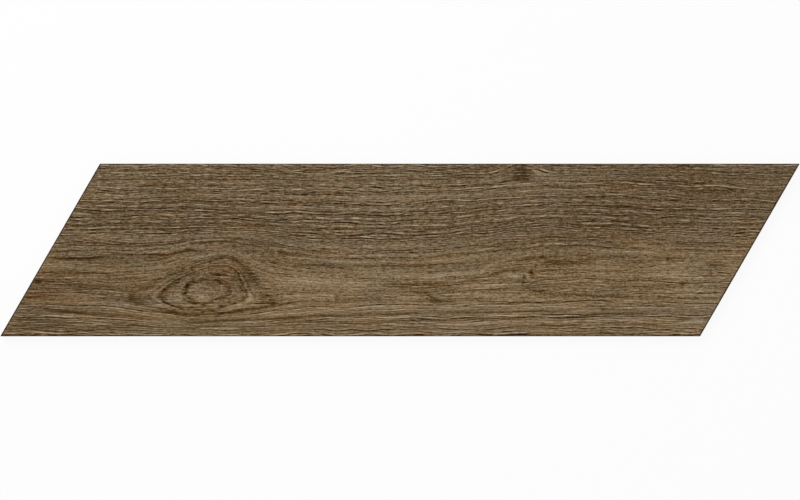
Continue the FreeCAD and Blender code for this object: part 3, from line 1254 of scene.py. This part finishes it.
    def rings(self, bench: Bench, plane: Any) -> Socket:
        """Tone of the large knot's rings and arcs, torn along the grain.

        Args:
            bench: tree that they go in.
            plane: place on the face.

        Returns:
            The tone, zero away from the knot.
        """
        jag = bench.cloud(plane, self.ring_bow, bench.cloud(plane, self.ring_jag))
        gaps = bench.split(bench.carried(Carried.RING_GAP))
        tones = bench.split(bench.carried(Carried.RING_TONE))
        total = 0.0
        for gap, tone, width in zip(gaps, tones, self.ring_widths):
            off = bench.maths("DIVIDE", bench.maths("ADD", gap, jag), width)
            total = bench.times_plus(bench.bell(off), tone, total)
        patchy = bench.cloud(plane, self.ring_patches)
        total = bench.times(bench.times(total, patchy), bench.cloud(plane, self.ring_tears))
        count = bench.split(bench.carried(Carried.RING_COUNT))[0]
        turn = bench.times_plus(jag, self.arc_jag, bench.times(count, self.arcs_per_ring))
        arcs = bench.times(bench.streaks(turn), bench.between(count, *self.arc_end))
        arcs = bench.times(arcs, bench.between(count, *self.heart_edge, self.heart_share))
        return bench.times_plus(bench.times(arcs, patchy), self.arc_tone, total)

    def edge_shade_share(self, bench: Bench, plane: Any) -> Socket:
        """Share of the painted shade along the mitred edges, which stands in for the shade on their arris.

        Args:
            bench: tree that it goes in.
            plane: place on the face.

        Returns:
            The share, from 0 to 1.
        """
        x, y, _ = bench.split(plane)
        off = bench.maths("ABSOLUTE", bench.times_plus(y, -self.lean, x))
        off = bench.times_plus(bench.noise(plane, self.edge_shade_sway), self.edge_shade_width, off)
        end = self.half_length - self.edge_shade_end * self.edge_shade_width
        full = self.half_length - self.edge_shade_full * self.edge_shade_width
        return bench.between(off, end, full)

    def material(self) -> bpy.types.Material:
        """Builds the node material.

        Returns:
            The finish of the decorated face.
        """
        bench = Bench(bpy.data.materials.new("printed_oak_glaze"))
        tone, warmth, tint = bench.split(bench.carried(Carried.FIGURE))
        comb, straight, even = bench.split(bench.carried(Carried.LINES))
        grain = bench.carried(Carried.GRAIN)
        along, flow, across = bench.split(grain)
        plane = bench.plane(along, across)
        ragged = bench.times_plus(even, -self.even_calm, 1.0)
        curved = self.fibres(bench, along, flow, ragged)
        fine = bench.blend(straight, curved, self.fibres(bench, along, across, ragged))
        fine = bench.times_plus(fine, comb, self.flecks(bench, plane, ragged))
        fine = bench.times(fine, bench.times_plus(fine, -self.dark_lean, 1.0))
        tone = bench.maths("ADD", bench.maths("ADD", tone, fine), self.rings(bench, plane))
        share = bench.times_plus(tone, 0.5 / self.tone_reach, 0.5, clamp=True)
        greyed = bench.ramp(share, self.stops(self.greyed))
        warm = bench.ramp(share, self.stops(self.warm))
        warmth = bench.cloud(grain, self.warm_drift, warmth, clamp=True)
        tint = bench.cloud(grain, self.tint_drift, tint)
        colour = bench.moved(bench.mix(warmth, greyed, warm), self.red_tint, tint)
        # Painted shade: the face darkens along the mitred edges, as a stand-in for the shade on their arris
        edge_shade = paint(self.edge_shade, self.touch.sheen)
        return bench.coat(bench.mix(self.edge_shade_share(bench, plane), colour, edge_shade), fine, self.touch)


@dataclass(frozen=True)
class GroundArris:
    """Arris ground through the print, painted dark as a stand-in for the shade that falls on the bevelled
    edge.
    """

    name: str
    colour: Colour
    touch: Touch = Touch(0.6, 0.06, 0.05, sheen=0.0038)
    mottle: Cloud = Cloud.lumps(3, level=0.5, detail=3.0)
    mottle_step: float = 14.0  # how far the colour values swing each way
    mottle_ends: tuple[float, float] = (0.3, 0.7)  # of the noise, where it is darkest and lightest

    def material(self) -> bpy.types.Material:
        """Builds the node material.

        Returns:
            The finish of the arris.
        """
        bench = Bench(bpy.data.materials.new(self.name))
        mottle = bench.cloud(bench.place(), self.mottle)
        ends = [paint(self.colour, self.touch.sheen, step) for step in (-self.mottle_step, self.mottle_step)]
        return bench.coat(bench.ramp(mottle, list(zip(self.mottle_ends, ends))), mottle, self.touch)


@dataclass(frozen=True)
class FiredBody:
    """Vitrified body, speckled, with a dusting of kiln wash on the tips of the back."""

    clay: Colour = (150, 132, 112)
    grog: Colour = (104, 88, 72)
    wash: Colour = (205, 200, 190)
    touch: Touch = Touch(0.85, 0.3, 0.08, strength=0.6)
    cloudiness: Cloud = Cloud.lumps(18, level=0.5, detail=4.0)
    cloud_step: float = -9.0  # added to the clay's colour values where it is darkest
    cloud_ends: tuple[float, float] = (0.3, 0.7)  # of the noise, where it is darkest and lightest
    speckle: Cloud = Cloud.lumps(0.5, detail=2.0)
    grog_from: float = 0.12  # of the speckle's noise, above which grog shows
    grog_share: float = 0.6
    dusting: Cloud = Cloud.lumps(6, shift=5.0, swing=3.4, level=0.4, detail=5.0)
    wash_full: float = 0.02  # millimetres above the tips up to which the wash is full
    wash_end: float = 0.3  # millimetres above them at which it ends

    def material(self) -> bpy.types.Material:
        """Builds the node material.

        Returns:
            The finish of the back and the sides.
        """
        bench = Bench(bpy.data.materials.new("fired_body"))
        place = bench.place()
        shades = [paint(self.clay, step=step) for step in (self.cloud_step, 0.0)]
        colour = bench.ramp(bench.cloud(place, self.cloudiness), list(zip(self.cloud_ends, shades)))
        speckle = bench.noise(place, self.speckle)
        grains = bench.times(bench.maths("GREATER_THAN", speckle, self.grog_from), self.grog_share)
        colour = bench.mix(grains, colour, paint(self.grog))
        height = bench.split(place)[2]
        tip = bench.between(height, self.wash_full * MM, self.wash_end * MM, 1.0, 0.0)
        dusting = bench.times(tip, bench.cloud(place, self.dusting, clamp=True))
        return bench.coat(bench.mix(dusting, colour, paint(self.wash)), speckle, self.touch)


# The tile


@dataclass(frozen=True)
class BakeSheet:
    """Flat sheet that the surface is laid out on: face above, back below, the sides as strips between."""

    margin: float = 0.005  # shares of the sheet, as the others are
    back_height: float = 0.185
    side_start: float = 0.2
    side_pitch: float = 0.017
    side_height: float = 0.01
    face_start: float = 0.27
    face_height: float = 0.725
    # What a side's normal has at most upwards, and at least along y or x
    most_up: float = 0.3
    least_y: float = 0.9
    least_x: float = 0.5

    def lay_out(self, mesh: bpy.types.Mesh) -> None:
        """Gives each corner of the mesh its place on the sheet.

        Args:
            mesh: the finished mesh.
        """
        corners = np.empty(len(mesh.loops), np.int32)
        mesh.loops.foreach_get("vertex_index", corners)
        place = np.empty(len(mesh.vertices) * 3)
        mesh.vertices.foreach_get("co", place)
        place = place.reshape(-1, 3)[corners]
        share = (place - place.min(axis=0)) / np.ptp(place, axis=0)
        sizes = np.empty(len(mesh.polygons), np.int32)
        mesh.polygons.foreach_get("loop_total", sizes)
        normals = np.empty(len(mesh.polygons) * 3)
        mesh.polygons.foreach_get("normal", normals)
        normal_x, normal_y, normal_z = np.repeat(normals.reshape(-1, 3), sizes, axis=0).T
        run = share[:, 0]
        face = self.face_start + self.face_height * share[:, 1]
        rise = np.where(normal_z > 0, face, self.margin + self.back_height * share[:, 1])
        level = np.abs(normal_z) < self.most_up
        long_sides = (level & (normal_y > self.least_y), level & (normal_y < -self.least_y))
        mitres = (level & (normal_x > self.least_x), level & (normal_x < -self.least_x))
        for i, side in enumerate(long_sides + mitres):
            run = np.where(side, share[:, i // 2], run)
            strip = self.side_start + self.side_pitch * i + self.side_height * share[:, 2]
            rise = np.where(side, strip, rise)
        run = self.margin + (1 - 2 * self.margin) * run
        layer = mesh.uv_layers.new(name=BAKE_MAP)
        layer.data.foreach_set("uv", np.stack((run, rise), 1).ravel().astype(np.float32))


@dataclass
class ChevronTile:
    """The tile as one closed mesh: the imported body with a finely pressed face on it."""

    rows: int = 288  # of the face, across the grain
    columns: int = 326  # along the grain
    plate_depth: float = 0.10 * MM  # from the highest fibre to the mean of the relief
    relief: float = 0.05 * MM  # relief of one step of tone
    deepest: float = 0.30 * MM
    figure: OakFigure = OakFigure()
    # The arrises' dark colours are painted shade, standing in for the shade on the bevelled edges
    mitre_arris: GroundArris = GroundArris("mitre_arris", (60, 48, 35))
    side_arris: GroundArris = GroundArris("side_arris", (74, 60, 43))
    fired_body: FiredBody = FiredBody()
    bake_sheet: BakeSheet = BakeSheet()

    WELD = 0.001 * MM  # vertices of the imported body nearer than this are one
    NEAR = 0.01 * MM  # what is nearer to a plane or an edge than this lies in it

    def __post_init__(self) -> None:
        """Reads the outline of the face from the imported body."""
        body = bmesh.new()
        body.from_mesh(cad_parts[NODE].data)
        bmesh.ops.remove_doubles(body, verts=body.verts, dist=self.WELD)
        self.body = body
        self.top = max(vert.co.z for vert in body.verts)
        corners = [vert.co.copy() for vert in body.verts if self.on_face(vert)]
        corners.sort(key=lambda corner: (corner.y, corner.x))
        self.half_width = corners[-1].y
        self.half_length = (corners[1].x - corners[0].x) / 2
        self.lean = (corners[-1].x - self.half_length) / self.half_width  # run of a mitre over its rise

    def on_face(self, vert: bmesh.types.BMVert) -> bool:
        """Tells whether a vertex lies in the plane of the face."""
        return vert.co.z > self.top - self.NEAR

    def press_face(self) -> None:
        """Takes the flat face and its arris off and puts a fine grid and a new arris in their place."""
        face = [vert for vert in self.body.verts if self.on_face(vert)]
        bmesh.ops.delete(self.body, geom=face, context="VERTS")
        lower = [edge for edge in self.body.edges if edge.is_boundary]
        long_sides = [edge for edge in lower if abs(edge.verts[0].co.y - edge.verts[1].co.y) < self.NEAR]
        mitres = [edge for edge in lower if edge not in long_sides]
        bmesh.ops.bisect_edges(self.body, edges=long_sides, cuts=self.columns - 1)
        bmesh.ops.bisect_edges(self.body, edges=mitres, cuts=self.rows - 1)
        made = bmesh.ops.create_grid(self.body, x_segments=self.columns, y_segments=self.rows, size=1.0)
        grid = made["verts"]
        place = Matrix((
            (self.half_length, self.lean * self.half_width, 0, 0),
            (0, self.half_width, 0, 0),
            (0, 0, 1, self.top),
            (0, 0, 0, 1),
        ))
        bmesh.ops.transform(self.body, matrix=place, verts=grid)
        for face in self.body.faces:
            face.material_index = Finish.FIRED_BODY.value
        for vert in grid:
            for face in vert.link_faces:
                face.material_index = Finish.PRINTED_FACE.value
                face.smooth = True
        loops = [edge for edge in self.body.edges if edge.is_boundary]
        arris = bmesh.ops.bridge_loops(self.body, edges=loops)["faces"]
        for face in arris:
            on_side = abs(face.calc_center_median().y) > self.half_width
            face.material_index = (Finish.SIDE_ARRIS if on_side else Finish.MITRE_ARRIS).value

    def outward(self, x: np.ndarray, y: np.ndarray) -> tuple[np.ndarray, np.ndarray]:
        """Step that moves a point on the face's edge one metre down the arris.

        Args:
            x: place of each point along the tile.
            y: place of each point across it.

        Returns:
            The x and y of the step, zero away from the edge.
        """
        side = np.where(np.abs(y) > self.half_width - self.NEAR, np.sign(y), 0.0)
        along = x - self.lean * y
        end = np.where(np.abs(along) > self.half_length - self.NEAR, np.sign(along), 0.0)
        return end * math.hypot(1, self.lean) + side * self.lean, side

    def carve(self, mesh: bpy.types.Mesh) -> None:
        """Sinks the pores and grooves in the face and stores the figure on the mesh.

        Args:
            mesh: the tile's mesh with a flat face.
        """
        count = len(mesh.vertices)
        place = np.empty(count * 3)
        mesh.vertices.foreach_get("co", place)
        place = place.reshape(-1, 3)
        x, y = place[:, 0].copy(), place[:, 1].copy()
        reading = self.figure.read(x / MM, y / MM)
        depth = np.clip(self.plate_depth - self.relief * reading.pressed, 0, self.deepest)
        depth[place[:, 2] < self.top - self.NEAR] = 0
        out_x, out_y = self.outward(x, y)
        place[:, 0] += out_x * depth
        place[:, 1] += out_y * depth
        place[:, 2] -= depth
        mesh.vertices.foreach_set("co", place.ravel())
        carried = {
            Carried.GRAIN: (x / MM, reading.flow, y / MM),
            Carried.FIGURE: (reading.tone, reading.warmth, reading.tint),
            Carried.LINES: (reading.comb, reading.straight, reading.even),
            Carried.RING_GAP: reading.knot.gaps,
            Carried.RING_TONE: reading.knot.tones,
            Carried.RING_COUNT: (reading.knot.count,),
        }
        for name, values in carried.items():
            table = np.zeros((count, 3), np.float32)
            table[:, :len(values)] = np.stack(values, 1)
            layer = mesh.attributes.new(name.value, "FLOAT_VECTOR", "POINT")
            layer.data.foreach_set("vector", table.ravel())
        mesh.update()

    def build(self) -> bpy.types.Object:
        """Builds the tile and dresses it.

        Returns:
            The finished piece.
        """
        self.press_face()
        mesh = bpy.data.meshes.new("pressed_tile")
        self.body.to_mesh(mesh)
        self.body.free()
        self.carve(mesh)
        self.bake_sheet.lay_out(mesh)
        widths = tuple(ring.width for ring in self.figure.knot.rings)
        face = PrintedOak(widths, self.half_length / MM, self.lean)
        finishes = {
            Finish.PRINTED_FACE: face,
            Finish.MITRE_ARRIS: self.mitre_arris,
            Finish.SIDE_ARRIS: self.side_arris,
            Finish.FIRED_BODY: self.fired_body,
        }
        for slot in Finish:
            mesh.materials.append(finishes[slot].material())
        piece = bpy.data.objects.new("pressed_tile", mesh)
        bpy.context.scene.collection.objects.link(piece)
        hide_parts(NODE)
        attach(piece, "root")
        return piece


# The studio


@dataclass(frozen=True)
class Studio:
    """White floor, soft light and the camera, square above the tile."""

    tile: ChevronTile
    view_width: float  # what the picture shows from side to side, at the height of the face
    face_height: float
    lens: float = 85.0
    sensor: float = 36.0
    floor_size: float = 8.0
    floor_overlap: float = 0.7 * MM  # how far the floor runs in under the edge of the face
    floor_colour: Paint = (0.95, 0.95, 0.95, 1)
    floor_glow: float = 0.9  # share of plain white that the camera sees in it
    world_level: float = 0.75
    key_power: float = 22.0
    key_size: float = 1.2
    key_place: tuple[float, float, float] = (-0.9, 1.3, 1.5)

    def rays_seen(self, bench: Bench) -> Socket:
        """Tells rays that the camera, glass or a mirror sends from others.

        Args:
            bench: tree that the answer goes in.

        Returns:
            One for those rays and zero for others.
        """
        path = bench.add("ShaderNodeLightPath")
        total = path.outputs["Is Camera Ray"]
        for name in ("Is Glossy Ray", "Is Transmission Ray"):
            total = bench.maths("MAXIMUM", total, path.outputs[name])
        return total

    def floor(self) -> bpy.types.Object:
        """Lays a pale floor that keeps the shadow, open under the tile, so that its back shows.

        Returns:
            The floor.
        """
        bench = Bench(bpy.data.materials.new("white_floor"))
        matt = bench.add("ShaderNodeBsdfDiffuse", {"Color": self.floor_colour})
        glow = bench.add("ShaderNodeEmission", {"Color": WHITE, "Strength": 1.0})
        seen = bench.times(self.rays_seen(bench), self.floor_glow)
        shader = bench.add("ShaderNodeMixShader", {0: seen, 1: matt.outputs[0], 2: glow.outputs[0]})
        shape = bmesh.new()
        bmesh.ops.create_grid(shape, x_segments=3, y_segments=3, size=self.floor_size / 2)
        opening = min(shape.faces, key=lambda face: face.calc_center_median().length)
        across = self.tile.half_width - self.floor_overlap
        along = self.tile.half_length - self.floor_overlap * math.hypot(1, self.tile.lean)
        for vert in opening.verts:
            y = math.copysign(across, vert.co.y)
            vert.co = (math.copysign(along, vert.co.x) + self.tile.lean * y, y, 0)
        bmesh.ops.delete(shape, geom=[opening], context="FACES_ONLY")
        mesh = bpy.data.meshes.new("studio_floor")
        shape.to_mesh(mesh)
        shape.free()
        mesh.materials.append(bench.finish(shader))
        floor = bpy.data.objects.new("studio_floor", mesh)
        bpy.context.scene.collection.objects.link(floor)
        return floor

    def sky(self) -> None:
        """White surroundings, which light the tile at a plain level."""
        world = bpy.data.worlds.new("studio_white")
        bpy.context.scene.world = world
        bench = Bench(world)
        strength = bench.between(self.rays_seen(bench), 0.0, 1.0, self.world_level, 1.0)
        light = bench.add("ShaderNodeBackground", {"Strength": strength})
        bench.add("ShaderNodeOutputWorld", {"Surface": light.outputs[0]})

    def lamp(self) -> bpy.types.Object:
        """Hangs a large soft lamp high on the side of the tile's upper long side.

        Returns:
            The lamp.
        """
        light = bpy.data.lights.new("soft_key", "AREA")
        light.shape = "SQUARE"
        light.size = self.key_size
        light.energy = self.key_power
        lamp = bpy.data.objects.new("soft_key", light)
        lamp.location = self.key_place
        lamp.rotation_euler = (-Vector(self.key_place)).to_track_quat("-Z", "Y").to_euler()
        bpy.context.scene.collection.objects.link(lamp)
        return lamp

    def camera(self) -> bpy.types.Object:
        """Puts the camera square above the tile, whose width fills the picture.

        Returns:
            The camera.
        """
        lens = bpy.data.cameras.new("camera")
        lens.lens = self.lens
        lens.sensor_width = self.sensor
        camera = bpy.data.objects.new("camera", lens)
        camera.location = (0, 0, self.face_height + self.view_width * self.lens / self.sensor)
        bpy.context.scene.collection.objects.link(camera)
        bpy.context.scene.camera = camera
        return camera


def main() -> None:
    """Builds the tile, then the studio round it."""
    logging.basicConfig(level=logging.INFO, format="%(message)s")
    tile = ChevronTile()
    piece = tile.build()
    log.info("%s: %d vertices, %d faces", piece.name, len(piece.data.vertices), len(piece.data.polygons))
    low, high = CAD_BOX
    studio = Studio(tile, view_width=high.x - low.x, face_height=high.z)
    for thing in (studio.floor(), studio.lamp(), studio.camera()):
        log.info("%s is in place", thing.name)
    studio.sky()
    bpy.context.scene.view_settings.view_transform = "Standard"


if __name__ == "__main__":
    main()
